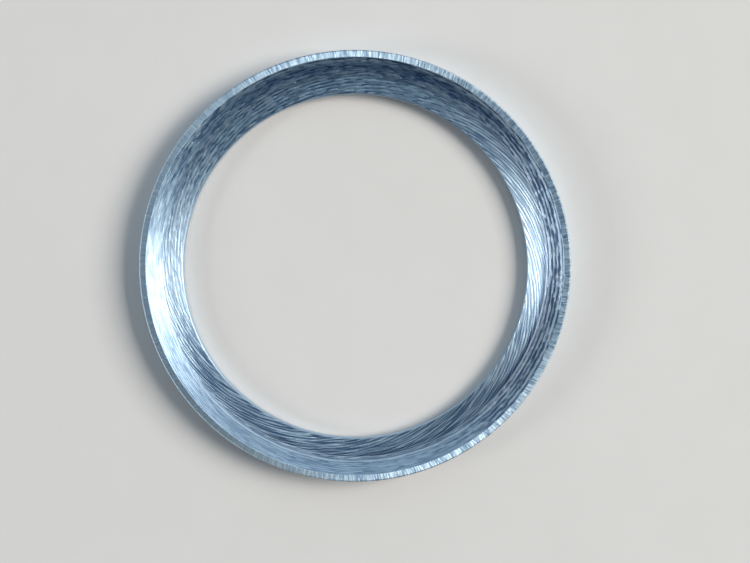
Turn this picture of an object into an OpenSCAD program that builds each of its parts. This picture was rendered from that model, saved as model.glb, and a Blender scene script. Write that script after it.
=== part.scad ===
// Bezel insert: a turned ring that drops into the channel of a watch bezel.
// The front, at the top, is a flat land, a slightly dished cone that falls inwards from it, and an
// almost flat ledge round the bore. The back carries a die-cut adhesive film in a shallow recess,
// and a liner covers the film until the insert is fitted.
// The axis is Z, and Z = 0 is the underside of the liner, on which the part lies.

/* [Outline] */
// Diameter of the bore, which clears the crystal
bore_d = 30.6; // [26:0.1:36]
// Width of the ring, from the bore to the outer wall, which drops into the bezel's channel
ring_w = 3.7; // [3.4:0.05:4.4]
// Height of the metal ring, from its seat to the land
ring_h = 2.2; // [2.1:0.05:2.6]

/* [Front face] */
// Width of the flat land, from the outer wall inwards
land_w = 0.6; // [0.45:0.05:0.8]
// Depth of the fine shoulder between the land and the cone
shoulder_drop = 0.12; // [0.08:0.01:0.16]
// Width of that shoulder
shoulder_run = 0.05; // [0.03:0.01:0.1]
// Width of the cone, seen from the front
cone_w = 1.25; // [1.1:0.05:1.4]
// Mean slope of the cone, from the seat's plane, in degrees
cone_angle = 37; // [32:1:40]
// How much steeper the dished cone is at its top than at its foot, in degrees
cone_dish = 12; // [4:1:16]
// Depth of the tool step at the foot of the cone
step_drop = 0.05; // [0.02:0.01:0.08]
// Width of that step
step_run = 0.03; // [0.01:0.01:0.06]
// Slope of the ledge, from the seat's plane, in degrees
ledge_angle = 3; // [1:0.5:5]

/* [Edge breaks] */
// Chamfer between the outer wall and the land
rim_break = 0.1; // [0.04:0.01:0.15]
// Chamfer between the ledge and the bore
bore_break = 0.05; // [0.03:0.01:0.1]
// Chamfer of the two edges of the seat
seat_break = 0.12; // [0.05:0.01:0.2]

/* [Adhesive film] */
// Width of the seat left standing outside the film's recess
seat_rim_w = 0.4; // [0.3:0.05:0.6]
// Width of the seat left standing inside the film's recess
seat_lip_w = 0.4; // [0.3:0.05:0.6]
// Depth of the film's recess
recess_depth = 0.1; // [0.05:0.01:0.14]
// Thickness of the film, which stands a little proud of its recess
film_t = 0.15; // [0.15:0.01:0.25]
// Gap between the film's edges and the walls of its recess
film_gap = 0.08; // [0.04:0.01:0.15]

/* [Release liner] */
// Thickness of the liner
liner_t = 0.08; // [0.06:0.01:0.15]
// How far the liner reaches past each edge of the film
liner_reach = 0.2; // [0.1:0.05:0.25]

/* [Hidden] */
$fn = 180;

bore_r = bore_d / 2;
outer_r = bore_r + ring_w;

// Heights, from the liner's underside up
film_under_z = liner_t;
film_top_z = film_under_z + film_t;
seat_z = film_top_z - recess_depth;
land_z = seat_z + ring_h;
cone_top_z = land_z - shoulder_drop;
cone_foot_z = cone_top_z - cone_w * tan(cone_angle);
ledge_z = cone_foot_z - step_drop;

// Radii of the front, from the outer wall inwards
land_inner_r = outer_r - land_w;
cone_top_r = land_inner_r - shoulder_run;
cone_foot_r = cone_top_r - cone_w;
ledge_outer_r = cone_foot_r - step_run;
ledge_inner_r = bore_r + bore_break;
ledge_inner_z = ledge_z - (ledge_outer_r - ledge_inner_r) * tan(ledge_angle);

// Arc of the cone's section, as points from its top to its foot
cone_steps = 8;
cone_top_angle = cone_angle + cone_dish / 2;
cone_arc_r = cone_w / (2 * cos(cone_angle) * sin(cone_dish / 2));
cone_points = [
    for (i = [0 : cone_steps])
        let (slope = cone_top_angle - cone_dish * i / cone_steps)
            [
                cone_top_r - cone_arc_r * (sin(cone_top_angle) - sin(slope)),
                cone_top_z - cone_arc_r * (cos(slope) - cos(cone_top_angle))
            ]
];

// Radii of the recess for the film, and of the film in it
recess_outer_r = outer_r - seat_break - seat_rim_w;
recess_inner_r = bore_r + seat_break + seat_lip_w;
film_outer_r = recess_outer_r - film_gap;
film_inner_r = recess_inner_r + film_gap;

// Section of the ring, as [radius, height]: front first, then bore, seat and outer wall
ring_section = [
    [outer_r, land_z - rim_break],
    [outer_r - rim_break, land_z],
    [land_inner_r, land_z],
    each cone_points,
    [ledge_outer_r, ledge_z],
    [ledge_inner_r, ledge_inner_z],
    [bore_r, ledge_inner_z - bore_break],
    [bore_r, seat_z + seat_break],
    [bore_r + seat_break, seat_z],
    [recess_inner_r, seat_z],
    [recess_inner_r, film_top_z],
    [recess_outer_r, film_top_z],
    [recess_outer_r, seat_z],
    [outer_r - seat_break, seat_z],
    [outer_r, seat_z + seat_break]
];

// Flat ring from one height up by its thickness
module flat_ring(inner_r, outer_r, under_z, thickness) {
    rotate_extrude()
        translate([inner_r, under_z])
            square([outer_r - inner_r, thickness]);
}

// The turned metal ring
module insert_ring() {
    color([0.62, 0.68, 0.74])
        rotate_extrude()
            polygon(ring_section);
}

// Double-sided film, pressed against the floor of its recess
module adhesive_film() {
    color([0.93, 0.93, 0.9])
        flat_ring(film_inner_r, film_outer_r, film_under_z, film_t);
}

// Paper liner under the film, a little wider so that a fingernail finds its edge
module release_liner() {
    color([0.94, 0.88, 0.7])
        flat_ring(film_inner_r - liner_reach, film_outer_r + liner_reach, 0, liner_t);
}

insert_ring();
adhesive_film();
release_liner();
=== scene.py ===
"""A brushed metal bezel insert with its adhesive film and release liner, lying face up.

The three pieces are bodies of revolution about +Z. Each section is written in millimetres, as in
the CAD source, and a Geometry Nodes tree turns it into a mesh in the frame's metres.
"""
import logging
import math
from dataclasses import dataclass
from enum import Enum
from functools import partial

import bpy
from mathutils import Matrix, Vector


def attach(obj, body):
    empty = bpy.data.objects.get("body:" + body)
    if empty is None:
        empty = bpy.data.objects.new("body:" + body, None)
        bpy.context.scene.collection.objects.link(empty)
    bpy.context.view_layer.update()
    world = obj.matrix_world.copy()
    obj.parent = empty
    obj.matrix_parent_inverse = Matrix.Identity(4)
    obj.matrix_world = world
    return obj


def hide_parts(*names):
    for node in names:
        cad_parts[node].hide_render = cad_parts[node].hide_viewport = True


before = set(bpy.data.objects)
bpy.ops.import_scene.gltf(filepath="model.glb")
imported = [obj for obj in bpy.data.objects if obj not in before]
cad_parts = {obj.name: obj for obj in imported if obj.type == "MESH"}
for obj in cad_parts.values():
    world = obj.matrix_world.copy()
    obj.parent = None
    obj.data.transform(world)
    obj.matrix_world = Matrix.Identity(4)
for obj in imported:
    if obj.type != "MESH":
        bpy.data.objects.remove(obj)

log = logging.getLogger("bezel_insert")

MM = 0.001
MICRON = 1e-6
BODY = "root"
PHOTO_WIDTH_PX = 750
NODE_SPACING = 180

# Blender's names of the sockets' types
FLOAT = "NodeSocketFloat"
WHOLE = "NodeSocketInt"
VECTOR = "NodeSocketVector"
SHAPE = "NodeSocketGeometry"
FINISH = "NodeSocketMaterial"

Point = tuple[float, float]
Colour = tuple[float, float, float]
Tree = bpy.types.NodeTree
Socket = bpy.types.NodeSocket
Sockets = bpy.types.bpy_prop_collection


class Zone(Enum):
    """Surface of the turned ring that one pass of the cutter or the abrasive leaves."""

    LAND = 0
    CONE = 1
    LEDGE = 2
    WALL = 3
    SEAT = 4

    @property
    def in_front(self) -> bool:
        """Whether the zone faces the wearer of the watch."""
        return self in (Zone.LAND, Zone.CONE, Zone.LEDGE)

    @property
    def input_name(self) -> str:
        """Name of the lathe tree's input for the zone's finish."""
        return f"{self.name.title()} Finish"


# Node trees


class TreeWriter:
    """Adds nodes to one node tree and links them."""

    def __init__(self, tree: Tree) -> None:
        """Keeps the tree that the nodes go into, and starts at its left."""
        self.tree = tree
        self.column = 0

    def add(self, kind: str, values: dict | None = None, **settings: object) -> bpy.types.Node:
        """Adds one node.

        Args:
            kind: Blender's identifier of the node.
            values: Value or source socket for each input, by the input's name or number.
            settings: Attributes to set on the node before its inputs.

        Returns:
            The new node.
        """
        node = self.tree.nodes.new(kind)
        node.location = (self.column * NODE_SPACING, 0)
        self.column += 1
        for name, value in settings.items():
            setattr(node, name, value)
        for key, value in (values or {}).items():
            self.feed(node.inputs[key], value)
        return node

    def feed(self, socket: Socket, value: object) -> None:
        """Links a socket to its source, or sets its value.

        Args:
            socket: Input to feed.
            value: Output socket of another node, or a plain value.
        """
        if isinstance(value, Socket):
            self.tree.links.new(value, socket)
        else:
            socket.default_value = value

    def group(self, tree: Tree, values: dict) -> bpy.types.Node:
        """Places a shader node group with its values."""
        return self.add("ShaderNodeGroup", values, node_tree=tree)

    def math(self, operation: str, *values: object) -> Socket:
        """Adds a Math node with numbers or sockets as its operands."""
        return self.add("ShaderNodeMath", dict(enumerate(values)), operation=operation).outputs[0]

    def vector(self, x: object, y: object, z: object) -> Socket:
        """Combines three numbers or sockets into a vector output."""
        return self.add("ShaderNodeCombineXYZ", {0: x, 1: y, 2: z}).outputs[0]

    def parts(self, vector: Socket) -> list[Socket]:
        """Splits a vector socket into its three component outputs."""
        return list(self.add("ShaderNodeSeparateXYZ", {0: vector}).outputs)

    def clamp(self, value: Socket, low: float = 0.0, high: float = 1.0) -> Socket:
        """Keeps a number between two limits."""
        return self.add("ShaderNodeClamp", {"Value": value, "Min": low, "Max": high}).outputs[0]

    def mix(self, factor: Socket, start: object, stop: object) -> Socket:
        """Mixes two numbers, from the start at 0 to the stop at 1."""
        return self.add("ShaderNodeMix", {"Factor": factor, 2: start, 3: stop}).outputs[0]

    def mix_colours(self, factor: Socket, start: object, stop: object) -> Socket:
        """Mixes two colours, from the start at 0 to the stop at 1."""
        return self.add("ShaderNodeMix", {"Factor": factor, 6: start, 7: stop}, data_type="RGBA").outputs[2]

    def fade(self, value: Socket, start: object, stop: object) -> Socket:
        """Rises smoothly from 0 where the value is at the start to 1 where it is at the stop."""
        limits = {"Value": value, "From Min": start, "From Max": stop}
        return self.add("ShaderNodeMapRange", limits, interpolation_type="SMOOTHSTEP").outputs[0]

    def hump(self, value: Socket) -> Socket:
        """Rises and falls once in each whole step of the value, as half a sine wave."""
        return self.math("SINE", self.math("MULTIPLY", self.math("FRACT", value), math.pi))

    def surface(self, height: Socket, values: dict) -> None:
        """Adds the Principled BSDF with its bump, and the material's output.

        Args:
            height: Height of the surface in micrometres.
            values: Value or source socket for each input of the shader.
        """
        bump = self.add("ShaderNodeBump", {"Height": height, "Distance": MICRON, "Strength": 1.0})
        shader = self.add("ShaderNodeBsdfPrincipled", {**values, "Normal": bump.outputs[0]})
        self.add("ShaderNodeOutputMaterial", {"Surface": shader.outputs[0]})

    def noise(self, place: Socket, detail: object, seed: object = None, roughness: float = 0.5) -> Socket:
        """Adds a noise of one cell per unit.

        Args:
            place: Place in the noise.
            detail: Octaves, as a number or a socket.
            seed: Place along a fourth axis, or None for a noise in space.
            roughness: Strength of each octave against the one before.

        Returns:
            The noise, from 0 to 1.
        """
        values = {"Vector": place, "Scale": 1.0, "Detail": detail, "Roughness": roughness}
        if seed is None:
            return self.add("ShaderNodeTexNoise", values).outputs["Fac"]
        return self.add("ShaderNodeTexNoise", {**values, "W": seed}, noise_dimensions="4D").outputs["Fac"]


def new_group(
    name: str, inputs: dict, outputs: dict, kind: str = "ShaderNodeTree"
) -> tuple[TreeWriter, Sockets, Sockets]:
    """Makes an empty node group with named sockets.

    Args:
        name: Name of the group.
        inputs: Socket type by input name.
        outputs: Socket type by output name.
        kind: Blender's identifier of the tree type.

    Returns:
        A writer for the group's tree, what comes into the group and what goes out of it.
    """
    tree = bpy.data.node_groups.new(name, kind)
    for label, socket_type in inputs.items():
        tree.interface.new_socket(label, in_out="INPUT", socket_type=socket_type)
    for label, socket_type in outputs.items():
        tree.interface.new_socket(label, in_out="OUTPUT", socket_type=socket_type)
    writer = TreeWriter(tree)
    return writer, writer.add("NodeGroupInput").outputs, writer.add("NodeGroupOutput").inputs


def new_material(name: str) -> tuple[bpy.types.Material, TreeWriter, Socket]:
    """Makes an empty material.

    Args:
        name: Name of the material.

    Returns:
        The material, a writer for its tree, and the place on the surface in Object coordinates.
    """
    material = bpy.data.materials.new(name)
    material.use_nodes = True
    material.node_tree.nodes.clear()
    writer = TreeWriter(material.node_tree)
    return material, writer, writer.add("ShaderNodeTexCoord").outputs["Object"]


def add_object(name: str, data: bpy.types.ID) -> bpy.types.Object:
    """Adds an object to the scene.

    Args:
        name: Name of the object.
        data: Its mesh, lamp or camera.

    Returns:
        The object.
    """
    thing = bpy.data.objects.new(name, data)
    bpy.context.scene.collection.objects.link(thing)
    return thing


# Shader node groups


def make_polar_group() -> Tree:
    """Builds the group that turns a place into angle, radius and path, in millimetres.

    The path is the radius plus the height, so that it grows along a level face and up a wall alike.

    Returns:
        The shader node group.
    """
    w, ask, out = new_group(
        "Polar Place",
        {"Place": VECTOR, "Lean": FLOAT, "Lean Growth": FLOAT, "Lean From mm": FLOAT},
        {"Cosine": FLOAT, "Sine": FLOAT, "Angle": FLOAT, "Radius mm": FLOAT, "Path mm": FLOAT},
    )
    x, y, z = w.parts(ask["Place"])
    radius = w.math("SQRT", w.math("ADD", w.math("MULTIPLY", x, x), w.math("MULTIPLY", y, y)))
    radius = w.math("DIVIDE", radius, MM)
    height = w.math("DIVIDE", z, MM)
    outward = w.math("SUBTRACT", radius, ask["Lean From mm"])
    lean = w.math("MULTIPLY_ADD", outward, ask["Lean Growth"], ask["Lean"])
    angle = w.math("MULTIPLY_ADD", outward, lean, w.math("ARCTAN2", y, x))
    w.feed(out["Cosine"], w.math("COSINE", angle))
    w.feed(out["Sine"], w.math("SINE", angle))
    w.feed(out["Angle"], angle)
    w.feed(out["Radius mm"], radius)
    w.feed(out["Path mm"], w.math("ADD", radius, height))
    return w.tree


# Inputs of the stroke group, by the field of Strokes that feeds each
STROKE_INPUTS = {
    "around": "Cells Around",
    "per_mm": "Cells per mm",
    "lean": "Lean",
    "lean_growth": "Lean Growth",
    "lean_from_mm": "Lean From mm",
    "detail": "Detail",
    "crispness": "Crispness",
    "lines_around": "Lines Around",
    "lines_per_mm": "Lines per mm",
    "line_wobble": "Line Wobble",
    "line_share": "Line Share",
    "cuts_per_mm": "Cuts per mm",
    "cut_share": "Cut Share",
    "seed": "Seed",
}

# Shape of every stroke, line, cut and band, where a pair is a gain and an offset
STROKE_SWING = 0.5
STROKE_ROUGHNESS = 0.6
MOST_ROWS = 1000.0
LINE_STEP = 7.31
LINE_STRENGTH = (3.0, -1.0)
LINE_HEIGHT = (1.7, 0.15)
LINE_MEAN = 0.55
ROW_SHIFT = 2.39
CUT_WOBBLE = 1.5
CUT_ACROSS = (0.7, 0.3)
CUT_TAPER = (0.75, 0.5)
BAND_CELLS_AROUND = 11.0


def make_stroke_group(polar: Tree) -> Tree:
    """Builds the group that draws one family of strokes, lines or cuts.

    Strokes are a stretched noise. Lines are thin, and their brightness comes and goes. Cuts lie in
    rows, each with a brightness of its own. Rows and cuts are counted modulo a whole turn, so that
    nothing breaks where the angle starts again.

    Args:
        polar: Group that gives the polar place.

    Returns:
        The shader node group, with the height about zero.
    """
    inputs = {"Place": VECTOR, **dict.fromkeys(STROKE_INPUTS.values(), FLOAT)}
    w, ask, out = new_group("Brush Strokes", inputs, {"Height": FLOAT})
    leaning = ("Place", "Lean", "Lean Growth", "Lean From mm")
    spot = w.group(polar, {name: ask[name] for name in leaning}).outputs
    angle, path = spot["Angle"], spot["Path mm"]
    around_x = w.math("MULTIPLY", spot["Cosine"], ask["Cells Around"])
    around_y = w.math("MULTIPLY", spot["Sine"], ask["Cells Around"])

    # Strokes
    cell = w.vector(around_x, around_y, w.math("MULTIPLY", path, ask["Cells per mm"]))
    noise = w.noise(cell, ask["Detail"], seed=ask["Seed"], roughness=STROKE_ROUGHNESS)
    swing = w.math("MULTIPLY", w.math("SUBTRACT", noise, 0.5), ask["Crispness"])
    stroke = w.clamp(swing, -STROKE_SWING, STROKE_SWING)

    # Rows that the lines and the cuts lie in
    per_radian = w.math("DIVIDE", ask["Lines Around"], math.tau)
    count = w.math("MULTIPLY_ADD", angle, per_radian, w.math("MULTIPLY", path, ask["Lines per mm"]))
    count = w.math("MULTIPLY_ADD", noise, ask["Line Wobble"], count)
    ridge = w.hump(count)
    run_round = w.math("LESS_THAN", ask["Lines Around"], 0.5)
    rows = w.math("MULTIPLY_ADD", run_round, MOST_ROWS, ask["Lines Around"])
    row = w.math("FLOORED_MODULO", w.math("FLOOR", count), rows)

    # Lines
    on_line = w.vector(
        w.math("MULTIPLY", row, LINE_STEP),
        w.math("MULTIPLY_ADD", path, ask["Cuts per mm"], around_x),
        around_y,
    )
    breath = w.noise(on_line, 1.0, seed=ask["Seed"])
    strength = w.clamp(w.math("MULTIPLY_ADD", breath, *LINE_STRENGTH))
    bold = w.math("MULTIPLY_ADD", strength, *LINE_HEIGHT)
    line = w.math("SUBTRACT", w.math("MULTIPLY", w.math("MULTIPLY", ridge, ridge), bold), LINE_MEAN)

    # Cuts
    cuts_round = w.math("ROUND", w.math("MULTIPLY", ask["Cells Around"], math.tau))
    along = w.math("MULTIPLY", angle, w.math("DIVIDE", cuts_round, math.tau))
    along = w.math("MULTIPLY_ADD", row, ROW_SHIFT, along)
    along = w.math("MULTIPLY_ADD", path, ask["Cuts per mm"], along)
    along = w.math("MULTIPLY_ADD", noise, CUT_WOBBLE, along)
    number = w.math("FLOORED_MODULO", w.math("FLOOR", along), cuts_round)
    label = w.vector(number, row, ask["Seed"])
    chance = w.add("ShaderNodeTexWhiteNoise", {"Vector": label}, noise_dimensions="3D").outputs["Value"]
    cut = w.math("MULTIPLY", w.math("SUBTRACT", chance, 0.5), w.math("MULTIPLY_ADD", ridge, *CUT_ACROSS))
    cut = w.math("MULTIPLY", cut, w.math("MULTIPLY_ADD", w.hump(along), *CUT_TAPER))

    height = w.mix(ask["Cut Share"], w.mix(ask["Line Share"], stroke, line), cut)
    w.feed(out["Height"], height)
    return w.tree


def make_sector_group(polar: Tree) -> Tree:
    """Builds the group that masks a sector of the ring, full in its middle and fading to its ends.

    Args:
        polar: Group that gives the polar place.

    Returns:
        The shader node group.
    """
    w, ask, out = new_group(
        "Ring Sector",
        {
            "Place": VECTOR,
            "Middle Cosine": FLOAT,
            "Middle Sine": FLOAT,
            "Reach Cosine": FLOAT,
            "Full Cosine": FLOAT,
        },
        {"Mask": FLOAT},
    )
    spot = w.group(polar, {"Place": ask["Place"]}).outputs
    across = w.math("MULTIPLY", spot["Sine"], ask["Middle Sine"])
    nearness = w.math("MULTIPLY_ADD", spot["Cosine"], ask["Middle Cosine"], across)
    w.feed(out["Mask"], w.fade(nearness, ask["Reach Cosine"], ask["Full Cosine"]))
    return w.tree


def make_band_group(polar: Tree) -> Tree:
    """Builds the group that masks a ring-shaped band, a little uneven round the axis, for painted shade and
    painted highlights.

    Args:
        polar: Group that gives the polar place.

    Returns:
        The shader node group.
    """
    w, ask, out = new_group(
        "Ring Band",
        {"Place": VECTOR, "Radius mm": FLOAT, "Half Width mm": FLOAT},
        {"Mask": FLOAT},
    )
    spot = w.group(polar, {"Place": ask["Place"]}).outputs
    cell = w.vector(
        w.math("MULTIPLY", spot["Cosine"], BAND_CELLS_AROUND),
        w.math("MULTIPLY", spot["Sine"], BAND_CELLS_AROUND),
        ask["Radius mm"],
    )
    uneven = w.math("ADD", w.noise(cell, 3.0), 0.5)
    away = w.math("ABSOLUTE", w.math("SUBTRACT", spot["Radius mm"], ask["Radius mm"]))
    w.feed(out["Mask"], w.math("MULTIPLY", w.fade(away, ask["Half Width mm"], 0.0), uneven))
    return w.tree


def make_ring_groups() -> dict[str, Tree]:
    """Builds the groups that the ring's finishes share.

    Returns:
        The shader node groups by name.
    """
    polar = make_polar_group()
    return {
        "strokes": make_stroke_group(polar),
        "sector": make_sector_group(polar),
        "band": make_band_group(polar),
    }


@dataclass(frozen=True)
class Canvas:
    """A ring material while it is written: its writer, the place on the surface and the groups."""

    w: TreeWriter
    place: Socket
    groups: dict[str, Tree]

    def group(self, name: str, values: dict) -> Socket:
        """Places one of the groups and gives its one output."""
        return self.w.group(self.groups[name], {"Place": self.place, **values}).outputs[0]


# Finishes

# Colour of the painted highlight lines
PAINTED_HIGHLIGHT_COLOUR = (0.88, 0.94, 0.99)


@dataclass(frozen=True)
class Sector:
    """Part of the ring where something shows, in degrees from +X, anticlockwise from above.

    It shows fully up to full degrees from the middle, and fades away up to reach degrees from it.
    """

    middle: float
    reach: float
    full: float = 0.0

    def mask(self, canvas: Canvas) -> Socket:
        """Adds the mask of this sector.

        Args:
            canvas: The material.

        Returns:
            The mask, from 0 at the sector's ends to 1 in its middle.
        """
        middle = math.radians(self.middle)
        values = {
            "Middle Cosine": math.cos(middle),
            "Middle Sine": math.sin(middle),
            "Reach Cosine": math.cos(math.radians(self.reach)),
            "Full Cosine": math.cos(math.radians(self.full)),
        }
        return canvas.group("sector", values)


@dataclass(frozen=True)
class Strokes:
    """One family of strokes, lines or cuts that a finish is built from.

    The noise has around cells per radian and per_mm cells per millimetre. Lines and cuts lie in rows,
    of which lines_around make a turn, or 0 where they run round the axis, and lines_per_mm a
    millimetre. The lean is in radians per millimetre of radius from lean_from_mm outwards. A share
    of 1 makes every stroke a line or a cut. No sector means the whole ring.
    """

    around: float
    per_mm: float
    depth_um: float
    shade: float
    detail: float = 2.0
    lean: float = 0.0
    lean_growth: float = 0.0
    lean_from_mm: float = 15.35
    crispness: float = 3.0
    lines_around: float = 0.0
    lines_per_mm: float = 0.0
    line_wobble: float = 0.3
    line_share: float = 0.0
    cuts_per_mm: float = 0.0
    cut_share: float = 0.0
    sector: Sector | None = None
    seed: float = 0.0

    def draw(self, canvas: Canvas) -> Socket:
        """Adds the family's height about zero, faded to its sector."""
        values = {label: getattr(self, name) for name, label in STROKE_INPUTS.items()}
        return confine(canvas, canvas.group("strokes", values), self.sector)


def confine(canvas: Canvas, value: Socket, sector: Sector | None) -> Socket:
    """Fades a value to its sector, if it has one."""
    return canvas.w.math("MULTIPLY", value, sector.mask(canvas)) if sector else value


@dataclass(frozen=True)
class PaintedLightMark:
    """Ring-shaped band of painted shade or line of painted highlight on the metal."""

    radius_mm: float
    half_width_mm: float
    strength: Colour | float
    sector: Sector | None = None

    def mask(self, canvas: Canvas) -> Socket:
        """Adds the mask of this mark, faded to its sector."""
        values = {"Radius mm": self.radius_mm, "Half Width mm": self.half_width_mm}
        return confine(canvas, canvas.group("band", values), self.sector)


@dataclass(frozen=True)
class PaintedShadeBand(PaintedLightMark):
    """Band of painted shade, where the colour is multiplied down, and made bluer where the blue gain is the
    highest. Its strength is a gain for each channel.
    """

    def tint(self, canvas: Canvas, colour: Socket) -> Socket:
        """Multiplies the colour by the band's gain, which paints the shade in.

        Args:
            canvas: The material.
            colour: Colour without the band.

        Returns:
            The colour with it.
        """
        change = tuple(channel - 1.0 for channel in self.strength)
        terms = {0: self.mask(canvas), 1: change, 2: (1.0, 1.0, 1.0)}
        gain = canvas.w.add("ShaderNodeVectorMath", terms, operation="MULTIPLY_ADD").outputs[0]
        return canvas.w.add("ShaderNodeVectorMath", {0: colour, 1: gain}, operation="MULTIPLY").outputs[0]


@dataclass(frozen=True)
class PaintedHighlightLine(PaintedLightMark):
    """Thin painted highlight along an edge or a step, where the lamps would glint. Its strength is its share
    of the colour.
    """

    def tint(self, canvas: Canvas, colour: Socket) -> Socket:
        """Mixes the colour towards that of the painted highlight."""
        share = canvas.w.math("MULTIPLY", self.mask(canvas), self.strength)
        return canvas.w.mix_colours(share, colour, (*PAINTED_HIGHLIGHT_COLOUR, 1.0))


@dataclass(frozen=True)
class CalmAndPaintedHighlight:
    """Sector where the strokes fade and the colour is pulled towards one level; where that level is high,
    this is a painted highlight.
    """

    sector: Sector
    level: float
    weight: float

    def soothe(self, canvas: Canvas, factor: Socket) -> Socket:
        """Pulls the share of the light colour towards the sector's level."""
        share = canvas.w.math("MULTIPLY", self.sector.mask(canvas), self.weight)
        return canvas.w.mix(share, factor, self.level)


@dataclass(frozen=True)
class MetalFinish:
    """Brushed metal with its own strokes and shine, bands of painted shade, lines of painted highlight, and
    sectors that smooth the strokes, the light ones being painted highlights.

    The highest strokes are light and the lowest dark. The highlight is drawn out along its turn, a
    part of a whole turn. The painted highlight lines lie over the painted shade bands.
    """

    name: str
    light: Colour
    dark: Colour
    roughness: float
    roughness_swing: float
    anisotropic: float
    turn: float
    strokes: tuple[Strokes, ...]
    bands: tuple[PaintedShadeBand, ...] = ()
    lines: tuple[PaintedHighlightLine, ...] = ()
    calm: tuple[CalmAndPaintedHighlight, ...] = ()

    def build(self, groups: dict[str, Tree]) -> bpy.types.Material:
        """Builds the material.

        Args:
            groups: Shader node groups of the ring.

        Returns:
            The material.
        """
        material, w, place = new_material(self.name)
        canvas = Canvas(w, place, groups)
        height = shade = 0.0
        for family in self.strokes:
            layer = family.draw(canvas)
            height = w.math("MULTIPLY_ADD", layer, family.depth_um, height)
            shade = w.math("MULTIPLY_ADD", layer, family.shade, shade)
        factor = w.clamp(w.math("ADD", shade, 0.5))
        # Painted highlight: sectors with a high level pull the colour light where the lamps' highlights fall
        for calm in self.calm:
            factor = calm.soothe(canvas, factor)
        colour = w.mix_colours(factor, (*self.dark, 1.0), (*self.light, 1.0))
        # Painted shade bands darken the colour, then painted highlight lines lighten it
        for mark in (*self.bands, *self.lines):
            colour = mark.tint(canvas, colour)
        roughest = self.roughness + self.roughness_swing
        shine = {
            "Base Color": colour,
            "Metallic": 1.0,
            "Roughness": w.math("MULTIPLY_ADD", factor, -2 * self.roughness_swing, roughest),
            "Anisotropic": self.anisotropic,
            "Anisotropic Rotation": self.turn,
            "Tangent": w.add("ShaderNodeTangent", direction_type="RADIAL", axis="Z").outputs[0],
        }
        w.surface(height, shine)
        return material


@dataclass(frozen=True)
class SheetFinish:
    """Film, paper or floor: a mottled colour with a fine grain.

    The mottle gives the values of the noise at which the colour is darkest and lightest.
    """

    name: str
    light: Colour
    dark: Colour
    roughness: float
    grain_per_mm: float
    grain_depth_um: float
    coat: float = 0.0
    clouds_per_mm: float = 0.25
    mottle: tuple[float, float] = (0.35, 0.65)
    roughness_swing: float = 0.08

    def build(self) -> bpy.types.Material:
        """Builds the material.

        Returns:
            The material.
        """
        material, w, place = new_material(self.name)
        grain, clouds = (
            w.add("ShaderNodeTexNoise", {"Vector": place, "Scale": per_mm / MM, "Detail": detail}).outputs[0]
            for per_mm, detail in ((self.grain_per_mm, 4.0), (self.clouds_per_mm, 2.0))
        )
        mixed = w.math("MULTIPLY_ADD", grain, 0.5, w.math("MULTIPLY", clouds, 0.5))
        spots = {"Value": mixed, "From Min": self.mottle[0], "From Max": self.mottle[1]}
        shade = w.add("ShaderNodeMapRange", spots).outputs[0]
        limits = {
            "Value": grain,
            "To Min": self.roughness - self.roughness_swing,
            "To Max": self.roughness + self.roughness_swing,
        }
        shine = {
            "Base Color": w.mix_colours(shade, (*self.dark, 1.0), (*self.light, 1.0)),
            "Roughness": w.add("ShaderNodeMapRange", limits).outputs[0],
            "Coat Weight": self.coat,
        }
        w.surface(w.math("MULTIPLY", grain, self.grain_depth_um), shine)
        return material


# Finishes of the ring

RIGHT = Sector(2.0, 62.0)
RIGHT_PLATEAU = Sector(0.0, 66.0, 20.0)
FOOT = Sector(280.0, 85.0)
FAR_SIDE = Sector(80.0, 100.0)
LEANING_SIDE = Sector(305.0, 135.0, 85.0)
LEAN = {"lean": 0.243, "lean_growth": 0.037}

thin_lines = partial(Strokes, detail=1.0, line_share=1.0)
cut_rows = partial(Strokes, cut_share=1.0)
steel = partial(MetalFinish, light=(0.70, 0.86, 0.98), dark=(0.13, 0.23, 0.37), roughness_swing=0.05)
turned = partial(steel, anisotropic=0.6, turn=0.25)

LAND_FINISH = MetalFinish(
    "land_cross_brushed",
    light=(0.72, 0.87, 0.97),
    dark=(0.22, 0.34, 0.47),
    roughness=0.62,
    roughness_swing=0.06,
    anisotropic=0.74,
    turn=0.0,
    strokes=(
        Strokes(60.0, 0.3, 20.0, 0.35, lean=0.012),
        Strokes(26.0, 0.6, 20.0, 0.4, seed=2.0),
        cut_rows(8.0, 0.3, 14.0, 1.0, lean=-0.008, lines_around=1050.0, cuts_per_mm=1.2, seed=9.0),
    ),
    # Painted shade that dims the land at the top and the upper right
    bands=(
        PaintedShadeBand(18.70, 0.70, (0.84, 0.86, 0.88), Sector(110.0, 80.0)),
        PaintedShadeBand(18.70, 0.70, (0.80, 0.83, 0.86), Sector(38.0, 32.0)),
    ),
    # Painted highlight along the outer rim's edge
    lines=(PaintedHighlightLine(18.97, 0.09, 0.7, Sector(5.0, 90.0)),),
    # Painted highlight: the left of the land is pulled light
    calm=(CalmAndPaintedHighlight(Sector(190.0, 85.0), 0.95, 0.85),),
)

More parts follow.
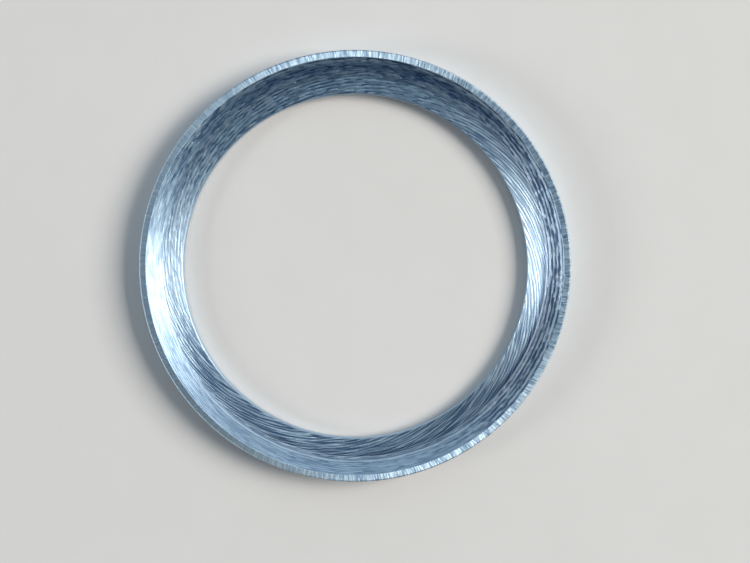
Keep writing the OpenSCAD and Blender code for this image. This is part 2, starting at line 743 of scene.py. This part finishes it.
CONE_FINISH = steel(
    "cone_fine_brushed",
    roughness=0.60,
    anisotropic=0.72,
    turn=0.25,
    strokes=(
        Strokes(24.0, 4.1, 12.0, 0.8, detail=1.0, lines_per_mm=4.1, cut_share=0.8, seed=4.0),
        cut_rows(11.0, 5.0, 12.0, 0.7, lines_per_mm=5.0, seed=7.0),
        cut_rows(30.0, 4.3, 24.0, 1.3, lines_around=30.0, lines_per_mm=4.3, sector=FAR_SIDE, seed=15.0),
        cut_rows(34.0, 4.1, 60.0, 1.7, lines_around=20.0, lines_per_mm=4.1, sector=RIGHT_PLATEAU, seed=11.0),
        thin_lines(14.0, 2.0, 36.0, 1.2, lines_per_mm=2.0, sector=RIGHT_PLATEAU, seed=21.0),
        thin_lines(10.0, 2.0, 16.0, 0.8, lines_per_mm=4.0, sector=Sector(235.0, 50.0, 20.0), seed=23.0),
    ),
    # Painted shade: the shoulder's shadow, the side turned from the key lamp, beside its highlight, and the
    # step's shadow at the bottom
    bands=(
        PaintedShadeBand(18.29, 0.09, (0.50, 0.53, 0.58), Sector(85.0, 55.0)),
        PaintedShadeBand(17.60, 0.90, (0.44, 0.54, 0.66), Sector(88.0, 82.0)),
        PaintedShadeBand(17.82, 0.42, (0.58, 0.64, 0.72), Sector(72.0, 75.0)),
        PaintedShadeBand(17.70, 0.80, (0.66, 0.67, 0.70), Sector(352.0, 56.0)),
        PaintedShadeBand(17.60, 1.60, (0.72, 0.75, 0.79), Sector(218.0, 34.0)),
        PaintedShadeBand(17.10, 0.30, (0.70, 0.74, 0.79), Sector(158.0, 26.0)),
        PaintedShadeBand(17.60, 1.60, (0.90, 0.97, 1.00), Sector(128.0, 50.0)),
        PaintedShadeBand(17.22, 0.08, (0.60, 0.63, 0.68), FOOT),
    ),
    # Painted highlights along the shoulder, across the right side and at the cone's foot
    lines=(
        PaintedHighlightLine(18.21, 0.09, 0.9, Sector(4.0, 70.0)),
        PaintedHighlightLine(17.84, 0.08, 0.3, RIGHT),
        PaintedHighlightLine(17.55, 0.08, 0.4, RIGHT),
        PaintedHighlightLine(17.23, 0.09, 0.6, RIGHT),
        PaintedHighlightLine(17.32, 0.08, 0.8, FOOT),
    ),
    # Painted highlight in the first sector, where the key lamp's highlight falls; the other two mostly smooth
    # the strokes
    calm=(
        CalmAndPaintedHighlight(Sector(186.0, 34.0), 0.80, 0.45),
        CalmAndPaintedHighlight(Sector(225.0, 30.0), 0.62, 0.35),
        CalmAndPaintedHighlight(Sector(262.0, 60.0), 0.57, 0.45),
    ),
)

LEDGE_FINISH = steel(
    "ledge_helical_brushed",
    roughness=0.52,
    anisotropic=0.75,
    turn=0.272,
    strokes=(
        thin_lines(
            9.0, 1.8, 24.0, 1.0, **LEAN, lines_around=84.0, line_wobble=1.3, cuts_per_mm=2.2,
            sector=LEANING_SIDE, seed=1.0,
        ),
        Strokes(56.0, 1.6, 12.0, 0.6, **LEAN, detail=1.0, crispness=4.0, sector=LEANING_SIDE, seed=3.0),
        cut_rows(
            30.0, 4.0, 30.0, 1.3, **LEAN, detail=1.0, lines_around=150.0, cuts_per_mm=5.0,
            sector=Sector(275.0, 105.0, 40.0), seed=12.0,
        ),
        cut_rows(
            26.0, 7.0, 20.0, 1.1, lines_around=50.0, lines_per_mm=6.5,
            sector=Sector(130.0, 105.0, 45.0), seed=17.0,
        ),
        thin_lines(
            12.0, 3.2, 14.0, 0.6, lines_around=22.0, lines_per_mm=3.4,
            sector=Sector(140.0, 80.0, 30.0), seed=19.0,
        ),
    ),
    # Painted shade: a darker strip at the right, thin lines beside the cone's foot at the bottom, and broad
    # bands on the side turned from the lamps and beside the highlights
    bands=(
        PaintedShadeBand(16.84, 0.36, (0.26, 0.32, 0.42), Sector(342.0, 44.0)),
        PaintedShadeBand(16.90, 0.25, (0.62, 0.66, 0.72), Sector(65.0, 70.0)),
        PaintedShadeBand(16.88, 0.09, (0.55, 0.58, 0.62), FOOT),
        PaintedShadeBand(16.65, 0.10, (0.65, 0.68, 0.72), FOOT),
        PaintedShadeBand(16.20, 1.70, (0.76, 0.79, 0.83), Sector(220.0, 34.0)),
        PaintedShadeBand(16.90, 0.45, (0.66, 0.70, 0.75), Sector(158.0, 24.0)),
        PaintedShadeBand(16.75, 0.60, (0.68, 0.72, 0.77), Sector(264.0, 46.0)),
        PaintedShadeBand(16.20, 1.70, (0.90, 0.97, 1.00), Sector(110.0, 70.0)),
    ),
    # Painted highlights along the ledge's outer edge and along the bore's edge
    lines=(
        PaintedHighlightLine(16.98, 0.09, 0.45, RIGHT),
        PaintedHighlightLine(16.98, 0.08, 0.6, FOOT),
        PaintedHighlightLine(15.38, 0.06, 0.5, Sector(235.0, 110.0)),
    ),
    # Painted highlights where the lamps' highlights fall on the ledge, left and right
    calm=(CalmAndPaintedHighlight(Sector(180.0, 32.0), 0.72, 0.6), CalmAndPaintedHighlight(Sector(8.0, 32.0), 0.80, 0.5)),
)

RING_FINISHES = {
    Zone.LAND: LAND_FINISH,
    Zone.CONE: CONE_FINISH,
    Zone.LEDGE: LEDGE_FINISH,
    Zone.WALL: turned("wall_turned", roughness=0.45, strokes=(Strokes(3.0, 9.0, 7.0, 0.4, seed=5.0),)),
    Zone.SEAT: turned("seat_turned", roughness=0.5, strokes=(Strokes(3.0, 7.0, 8.0, 0.4, seed=6.0),)),
}


# Turned sections

MERGE_DISTANCE = 1e-7
ZONE_TOLERANCE = 0.1


@dataclass
class Section:
    """Closed outline of a turned piece in millimetres, with the zone of each side and rounded corners.

    The mesh has a row each row_mm on the front and each back_row_mm elsewhere. A round corner takes
    corner_mm off each of its sides, but no more than side_share of one, and a row at hold_mm from
    it holds the side flat.
    """

    points: list[Point]
    zones: list[Zone]
    row_mm: float
    back_row_mm: float
    corner_mm: float = 0.02
    side_share: float = 0.3
    arc_steps: int = 4
    slight_bend: float = math.radians(5.0)
    hold_mm: float = 0.01
    hold_share: float = 0.2

    def rows(self) -> tuple[list[Point], list[Zone]]:
        """Rounds the corners and divides the long sides.

        Returns:
            The outline's points in millimetres, and the zone of the side after each point.
        """
        rows: list[Point] = []
        zones: list[Zone] = []
        corners = [self._corner(i) for i in range(len(self.points))]
        for i, zone in enumerate(self.zones):
            arc, next_arc = corners[i], corners[(i + 1) % len(corners)]
            middle = len(arc) // 2
            for k, point in enumerate(arc[:-1]):
                rows.append(point)
                zones.append(self.zones[i - 1] if k < middle else zone)
            start, stop = Vector(arc[-1]), Vector(next_arc[0])
            holds = (len(arc) > 1, len(next_arc) > 1)
            for fraction in self._spacing((stop - start).length, zone, holds):
                spot = start.lerp(stop, fraction)
                rows.append((spot.x, spot.y))
                zones.append(zone)
        return rows, zones

    def _spacing(self, length: float, zone: Zone, holds: tuple[bool, bool]) -> list[float]:
        """Divides a side evenly, with one more row close to each end that has a round corner.

        Args:
            length: Length of the side in millimetres, which isn't zero.
            zone: Zone of the side, which is finer at the front.
            holds: Whether the side's start and its end have a round corner.

        Returns:
            The fractions of its length at which rows lie, from 0 and without 1.
        """
        steps = max(1, round(length / (self.row_mm if zone.in_front else self.back_row_mm)))
        hold = min(self.hold_share / steps, self.hold_mm / length)
        before = [hold] if holds[0] else []
        after = [1.0 - hold] if holds[1] else []
        return [0.0, *before, *(k / steps for k in range(1, steps)), *after]

    def _corner(self, i: int) -> list[Point]:
        """Replaces one corner by a short arc, unless it is a slight bend.

        Args:
            i: Number of the corner.

        Returns:
            The arc's points in the outline's order, or the corner alone.
        """
        corner = Vector(self.points[i])
        to_before = Vector(self.points[i - 1]) - corner
        to_after = Vector(self.points[(i + 1) % len(self.points)]) - corner
        if to_after.angle(-to_before) < self.slight_bend:
            return [self.points[i]]
        cut = min(self.corner_mm, to_before.length * self.side_share, to_after.length * self.side_share)
        start = corner + to_before.normalized() * cut
        stop = corner + to_after.normalized() * cut
        arc = []
        for k in range(self.arc_steps + 1):
            t = k / self.arc_steps
            spot = start.lerp(corner, t).lerp(corner.lerp(stop, t), t)
            arc.append((spot.x, spot.y))
        return arc


def make_lathe_tree(slots: list[Zone]) -> Tree:
    """Builds the Geometry Nodes tree that revolves a section into a closed mesh.

    Args:
        slots: Zones that get a material input each.

    Returns:
        The tree.
    """
    w, ask, out = new_group(
        "Lathe " + "_".join(zone.name for zone in slots),
        {
            "Section": SHAPE,
            "Steps Round": WHOLE,
            "Mark Depth mm": FLOAT,
            "Mark Pitch mm": FLOAT,
            "Seed": FLOAT,
            **{zone.input_name: FINISH for zone in slots},
        },
        {"Turned": SHAPE},
        "GeometryNodeTree",
    )
    section, steps = ask["Section"], ask["Steps Round"]
    size = w.add("GeometryNodeAttributeDomainSize", {"Geometry": section}, component="MESH")
    rows = size.outputs["Point Count"]
    rows_closed = w.math("ADD", rows, 1.0)
    counts = {"Vertices X": w.math("ADD", steps, 1.0), "Vertices Y": rows_closed}
    grid = w.add("GeometryNodeMeshGrid", counts).outputs["Mesh"]

    # Place of each point of the grid
    index = w.add("GeometryNodeInputIndex").outputs[0]
    row = w.math("MODULO", w.math("MODULO", index, rows_closed), rows)
    turn = w.math("FLOOR", w.math("DIVIDE", w.math("ADD", index, 0.5), rows_closed))
    spot = w.add(
        "GeometryNodeSampleIndex",
        {"Geometry": section, "Value": w.add("GeometryNodeInputPosition").outputs[0], "Index": row},
        data_type="FLOAT_VECTOR",
        domain="POINT",
    ).outputs["Value"]
    radius, _, height = w.parts(spot)
    path = w.math("DIVIDE", w.math("ADD", radius, height), w.math("MULTIPLY", ask["Mark Pitch mm"], MM))
    ripple = w.noise(w.vector(path, ask["Seed"], 0.0), 2.0)
    depth = w.math("MULTIPLY", ask["Mark Depth mm"], 2 * MM)
    mark = w.math("ABSOLUTE", w.math("MULTIPLY", w.math("SUBTRACT", ripple, 0.5), depth))
    angle = w.math("MULTIPLY", w.math("DIVIDE", turn, steps), math.tau)
    radius_cut = w.math("SUBTRACT", radius, mark)
    place = w.vector(
        w.math("MULTIPLY", radius_cut, w.math("COSINE", angle)),
        w.math("MULTIPLY", radius_cut, w.math("SINE", angle)),
        w.math("SUBTRACT", height, mark),
    )
    mesh = w.add("GeometryNodeSetPosition", {"Geometry": grid, "Position": place}).outputs[0]

    # Zone of each face
    stored_zone = partial(w.add, "GeometryNodeInputNamedAttribute", {"Name": "zone"}, data_type="INT")
    zone_here = w.add(
        "GeometryNodeSampleIndex",
        {"Geometry": section, "Value": stored_zone().outputs[0], "Index": w.math("MODULO", index, rows)},
        data_type="INT",
        domain="POINT",
    ).outputs["Value"]
    stored = {"Geometry": mesh, "Name": "zone", "Value": zone_here}
    mesh = w.add("GeometryNodeStoreNamedAttribute", stored, data_type="INT", domain="FACE").outputs[0]
    mesh = w.add("GeometryNodeMergeByDistance", {"Geometry": mesh, "Distance": MERGE_DISTANCE}).outputs[0]
    mesh = w.add("GeometryNodeSetShadeSmooth", {"Geometry": mesh}).outputs[0]
    mesh = w.add("GeometryNodeRealizeInstances", {"Geometry": mesh}).outputs[0]
    for zone in slots:
        is_zone = w.math("COMPARE", stored_zone().outputs[0], float(zone.value), ZONE_TOLERANCE)
        dressed = {"Geometry": mesh, "Selection": is_zone, "Material": ask[zone.input_name]}
        mesh = w.add("GeometryNodeSetMaterial", dressed).outputs[0]
    w.feed(out["Turned"], mesh)
    return w.tree


@dataclass(frozen=True)
class Lathe:
    """Settings with which a section is turned: the steps round the axis and the tool marks in the mesh."""

    steps_round: int
    mark_depth_mm: float = 0.0
    mark_pitch_mm: float = 0.1
    seed: float = 3.0

    def turn(self, name: str, section: Section, finishes: dict[Zone, bpy.types.Material]) -> bpy.types.Object:
        """Revolves a section about +Z and leaves a plain mesh.

        Args:
            name: Name of the piece.
            section: Its outline.
            finishes: Material of each zone.

        Returns:
            The piece, with its place in its mesh.
        """
        rows, zones = section.rows()
        edges = [(i, (i + 1) % len(rows)) for i in range(len(rows))]
        outline = bpy.data.meshes.new(name + "_section")
        outline.from_pydata([(r * MM, 0.0, z * MM) for r, z in rows], edges, [])
        attribute = outline.attributes.new("zone", "INT", "POINT")
        attribute.data.foreach_set("value", [zone.value for zone in zones])
        maker = add_object(name + "_maker", outline)
        tree = make_lathe_tree(list(finishes))
        modifier = maker.modifiers.new("Lathe", "NODES")
        modifier.node_group = tree
        ids = {item.name: item.identifier for item in tree.interface.items_tree if item.in_out == "INPUT"}
        modifier[ids["Steps Round"]] = self.steps_round
        modifier[ids["Mark Depth mm"]] = self.mark_depth_mm
        modifier[ids["Mark Pitch mm"]] = self.mark_pitch_mm
        modifier[ids["Seed"]] = self.seed
        for zone, material in finishes.items():
            modifier[ids[zone.input_name]] = material
        graph = bpy.context.evaluated_depsgraph_get()
        mesh = bpy.data.meshes.new_from_object(maker.evaluated_get(graph))
        mesh.name = name
        piece = add_object(name, mesh)
        bpy.data.objects.remove(maker)
        return piece


# Pieces


@dataclass
class InsertRing:
    """The turned metal ring: land, shoulder, cone, ledge, bore, seat and outer wall.

    The sizes have the CAD source's names, in millimetres and degrees. Only the ease is this file's
    own: the outer strip of the ledge, which rises a little towards the cone.
    """

    bore_r: float = 15.3
    outer_r: float = 19.0
    seat_z: float = 0.13
    ring_h: float = 2.2
    land_w: float = 0.6
    shoulder_drop: float = 0.12
    shoulder_run: float = 0.05
    cone_w: float = 1.25
    cone_angle: float = 37.0
    cone_dish: float = 12.0
    cone_steps: int = 24
    step_drop: float = 0.05
    step_run: float = 0.03
    ledge_angle: float = 3.0
    ease_w: float = 0.6
    ease_angle: float = 8.0
    ease_steps: int = 8
    rim_break: float = 0.1
    bore_break: float = 0.05
    seat_break: float = 0.12
    seat_rim_w: float = 0.4
    seat_lip_w: float = 0.4
    recess_depth: float = 0.1
    row_mm: float = 0.06
    back_row_mm: float = 0.5
    lathe: Lathe = Lathe(steps_round=540, mark_depth_mm=0.0015)

    def section(self) -> Section:
        """Writes the ring's outline, front first, then bore, seat and outer wall.

        Returns:
            The section.
        """
        land_z = self.seat_z + self.ring_h
        land_inner_r = self.outer_r - self.land_w
        cone = self._cone(land_inner_r - self.shoulder_run, land_z - self.shoulder_drop)
        foot_r, foot_z = cone[-1]
        step_r, step_z = foot_r - self.step_run, foot_z - self.step_drop
        edge_r = self.bore_r + self.bore_break
        edge_z = step_z - (step_r - edge_r) * math.tan(math.radians(self.ledge_angle))
        recess_z = self.seat_z + self.recess_depth
        recess_outer_r = self.outer_r - self.seat_break - self.seat_rim_w
        recess_inner_r = self.bore_r + self.seat_break + self.seat_lip_w
        sides = [
            (self.outer_r, land_z - self.rim_break, Zone.LAND),
            (self.outer_r - self.rim_break, land_z, Zone.LAND),
            (land_inner_r, land_z, Zone.CONE),
            *((r, z, Zone.CONE) for r, z in cone[:-1]),
            (foot_r, foot_z, Zone.LEDGE),
            *((r, z, Zone.LEDGE) for r, z in self._ease(step_r, step_z)),
            (edge_r, edge_z, Zone.WALL),
            (self.bore_r, edge_z - self.bore_break, Zone.WALL),
            (self.bore_r, self.seat_z + self.seat_break, Zone.SEAT),
            (self.bore_r + self.seat_break, self.seat_z, Zone.SEAT),
            (recess_inner_r, self.seat_z, Zone.SEAT),
            (recess_inner_r, recess_z, Zone.SEAT),
            (recess_outer_r, recess_z, Zone.SEAT),
            (recess_outer_r, self.seat_z, Zone.SEAT),
            (self.outer_r - self.seat_break, self.seat_z, Zone.SEAT),
            (self.outer_r, self.seat_z + self.seat_break, Zone.WALL),
        ]
        points = [(r, z) for r, z, _ in sides]
        zones = [zone for _, _, zone in sides]
        return Section(points, zones, self.row_mm, self.back_row_mm)

    def _cone(self, top_r: float, top_z: float) -> list[Point]:
        """Writes the arc of the dished cone, which is steepest at its top.

        Args:
            top_r: Radius of the cone's top.
            top_z: Height of the cone's top.

        Returns:
            The arc's points, from the top to the foot.
        """
        mean, half_dish = math.radians(self.cone_angle), math.radians(self.cone_dish / 2)
        steepest = mean + half_dish
        arc_r = self.cone_w / (2 * math.cos(mean) * math.sin(half_dish))
        slopes = [steepest - 2 * half_dish * k / self.cone_steps for k in range(self.cone_steps + 1)]
        return [
            (
                top_r - arc_r * (math.sin(steepest) - math.sin(slope)),
                top_z - arc_r * (math.cos(slope) - math.cos(steepest)),
            )
            for slope in slopes
        ]

    def _ease(self, step_r: float, step_z: float) -> list[Point]:
        """Writes the outer strip of the ledge, which the abrasive eases up towards the cone.

        Args:
            step_r: Radius of the ledge's outer edge.
            step_z: Height of the ledge's plane at that radius.

        Returns:
            The strip's points, from the outer edge inwards.
        """
        run = self.ease_w / self.ease_steps
        r, z = step_r - self.ease_w, step_z - self.ease_w * math.tan(math.radians(self.ledge_angle))
        points = [(r, z)]
        for k in range(self.ease_steps):
            slope = self.ledge_angle + self.ease_angle * (k + 0.5) / self.ease_steps
            r, z = r + run, z + run * math.tan(math.radians(slope))
            points.append((r, z))
        return points[::-1]

    def build(self, groups: dict[str, Tree]) -> bpy.types.Object:
        """Turns the ring and dresses each zone in its finish.

        Args:
            groups: Shader node groups of the ring.

        Returns:
            The piece.
        """
        finishes = {zone: finish.build(groups) for zone, finish in RING_FINISHES.items()}
        piece = self.lathe.turn("insert_ring_turned", self.section(), finishes)
        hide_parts("insert_ring")
        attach(piece, BODY)
        return piece


@dataclass
class DieCutRing:
    """Flat ring that is cut from film or paper, in millimetres."""

    inner_r: float
    outer_r: float
    under_z: float
    thickness: float
    finish: SheetFinish
    row_mm: float = 0.25
    lathe: Lathe = Lathe(steps_round=240)

    def cut(self, name: str) -> bpy.types.Object:
        """Makes the ring's mesh and dresses it.

        Args:
            name: Name of the piece.

        Returns:
            The piece.
        """
        top_z = self.under_z + self.thickness
        points = [
            (self.outer_r, self.under_z),
            (self.outer_r, top_z),
            (self.inner_r, top_z),
            (self.inner_r, self.under_z),
        ]
        section = Section(points, [Zone.SEAT] * len(points), self.row_mm, self.row_mm)
        return self.lathe.turn(name, section, {Zone.SEAT: self.finish.build()})


@dataclass
class AdhesiveFilm(DieCutRing):
    """Double-sided film in the ring's recess."""

    inner_r: float = 15.9
    outer_r: float = 18.4
    under_z: float = 0.08
    thickness: float = 0.15
    finish: SheetFinish = SheetFinish("film_milky", (0.88, 0.88, 0.84), (0.78, 0.79, 0.76), 0.42, 3.0, 6.0)

    def build(self) -> bpy.types.Object:
        """Makes the film.

        Returns:
            The piece.
        """
        piece = self.cut("adhesive_film_die_cut")
        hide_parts("adhesive_film")
        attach(piece, BODY)
        return piece


@dataclass
class ReleaseLiner(DieCutRing):
    """Coated paper that covers the film until the insert is fitted."""

    inner_r: float = 15.7
    outer_r: float = 18.6
    under_z: float = 0.0
    thickness: float = 0.08
    finish: SheetFinish = SheetFinish(
        "liner_coated_paper", (0.90, 0.83, 0.66), (0.78, 0.68, 0.50), 0.5, 2.0, 8.0, coat=0.2
    )

    def build(self) -> bpy.types.Object:
        """Makes the liner.

        Returns:
            The piece.
        """
        piece = self.cut("release_liner_paper")
        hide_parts("release_liner")
        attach(piece, BODY)
        return piece


# Studio


def direction(azimuth: float, from_zenith: float) -> Vector:
    """Gives the unit vector that points to a place above the ring.

    Args:
        azimuth: Degrees from +X, anticlockwise from above.
        from_zenith: Degrees from straight up.

    Returns:
        The vector.
    """
    turn, tilt = math.radians(azimuth), math.radians(from_zenith)
    return Vector((math.sin(tilt) * math.cos(turn), math.sin(tilt) * math.sin(turn), math.cos(tilt)))


@dataclass(frozen=True)
class Lamp:
    """Soft square lamp that shines at the middle of the ring, in degrees, metres and watts."""

    name: str
    azimuth: float
    from_zenith: float
    size: float
    power: float
    colour: Colour
    distance: float = 1.5

    def build(self) -> None:
        """Hangs the lamp."""
        away = direction(self.azimuth, self.from_zenith)
        data = bpy.data.lights.new(self.name, "AREA")
        data.shape = "SQUARE"
        data.size = self.size
        data.energy = self.power
        data.color = self.colour
        lamp = add_object(self.name, data)
        lamp.location = away * self.distance
        lamp.rotation_euler = away.to_track_quat("Z", "Y").to_euler()


@dataclass(frozen=True)
class Floor:
    """Round pale floor in metres, flat in the middle and rising towards its rim."""

    radii: tuple[float, ...] = (0.5, 1.5, 2.0, 2.4, 2.7, 2.9, 3.0)
    flat_r: float = 1.5
    rim_rise: float = 0.3
    steps: int = 96
    finish: SheetFinish = SheetFinish("floor_pale", (0.66, 0.635, 0.61), (0.645, 0.62, 0.595), 0.8, 0.05, 0.0)

    def build(self) -> None:
        """Makes the floor."""
        turns = [math.tau * k / self.steps for k in range(self.steps)]
        verts = [(0.0, 0.0, 0.0)]
        for r in self.radii:
            rise = self.rim_rise * max(0.0, (r - self.flat_r) / (self.radii[-1] - self.flat_r)) ** 2
            verts += [(r * math.cos(turn), r * math.sin(turn), rise) for turn in turns]
        pairs = [(k, (k + 1) % self.steps) for k in range(self.steps)]
        faces = [(0, 1 + k, 1 + after) for k, after in pairs]
        for ring in range(len(self.radii) - 1):
            a, b = 1 + ring * self.steps, 1 + (ring + 1) * self.steps
            faces += [(a + k, b + k, b + after, a + after) for k, after in pairs]
        mesh = bpy.data.meshes.new("floor")
        mesh.from_pydata(verts, [], faces)
        mesh.polygons.foreach_set("use_smooth", [True] * len(mesh.polygons))
        mesh.materials.append(self.finish.build())
        floor = add_object("floor", mesh)


@dataclass
class Studio:
    """Floor, a key lamp and a fill lamp, dim cool surroundings and the camera.

    The camera's sizes are in millimetres and degrees. It looks at a point in the plane of the land.
    """

    look_z: float = 2.33
    camera_distance: float = 118.0
    camera_tilt: float = 3.2
    camera_side: float = 54.0
    aim: Point = (1.804, -1.203)
    scale_px_per_mm: float = 11.383
    floor: Floor = Floor()
    key_lamp: Lamp = Lamp("key_lamp", 11.0, 52.0, 0.8, 27.5, (1.0, 0.97, 0.92))
    fill_lamp: Lamp = Lamp("fill_lamp", 192.0, 68.0, 0.4, 7.5, (0.9, 0.95, 1.0))
    sky_level: float = 0.20
    sky_rise_back: float = 0.76
    sky_rise_right: float = 0.18
    sky_least: float = 0.03
    sky_colour: Colour = (0.66, 0.84, 1.0)

    def build(self) -> None:
        """Makes the floor, the lamps, the world and the camera."""
        self.floor.build()
        self.key_lamp.build()
        self.fill_lamp.build()
        self._world()
        self._camera()

    def _world(self) -> None:
        """Makes the dim surroundings, which are lighter at the top and the right."""
        world = bpy.data.worlds.new("surroundings")
        bpy.context.scene.world = world
        world.use_nodes = True
        world.node_tree.nodes.clear()
        w = TreeWriter(world.node_tree)
        x, y, _ = w.parts(w.add("ShaderNodeTexCoord").outputs["Generated"])
        level = w.math("MULTIPLY_ADD", y, self.sky_rise_back, self.sky_level)
        level = w.math("MAXIMUM", w.math("MULTIPLY_ADD", x, self.sky_rise_right, level), self.sky_least)
        sky = w.add("ShaderNodeBackground", {"Color": (*self.sky_colour, 1.0), "Strength": level})
        w.add("ShaderNodeOutputWorld", {"Surface": sky.outputs[0]})

    def _camera(self) -> None:
        """Places the camera almost straight above the ring."""
        away = direction(self.camera_side, self.camera_tilt)
        spot = Vector((0.0, 0.0, self.look_z)) + away * self.camera_distance
        back = (spot - Vector((*self.aim, self.look_z))).normalized()
        right = Vector((0.0, 1.0, 0.0)).cross(back).normalized()
        up = back.cross(right)
        data = bpy.data.cameras.new("camera")
        data.lens = self.scale_px_per_mm * self.camera_distance * data.sensor_width / PHOTO_WIDTH_PX
        data.clip_start = 0.01
        data.clip_end = 20.0
        camera = add_object("camera", data)
        facing = Matrix((right, up, back)).transposed().to_4x4()
        camera.matrix_world = Matrix.Translation(spot * MM) @ facing
        bpy.context.scene.camera = camera


def main() -> None:
    """Builds the insert and the studio, and reports each piece."""
    logging.basicConfig(level=logging.INFO, format="%(name)s: %(message)s")
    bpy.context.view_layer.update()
    bpy.context.scene.view_settings.view_transform = "Standard"
    pieces = [InsertRing().build(make_ring_groups()), AdhesiveFilm().build(), ReleaseLiner().build()]
    for piece in pieces:
        log.info("%s: %d faces, %d finishes", piece.name, len(piece.data.polygons), len(piece.data.materials))
    Studio().build()


if __name__ == "__main__":
    main()
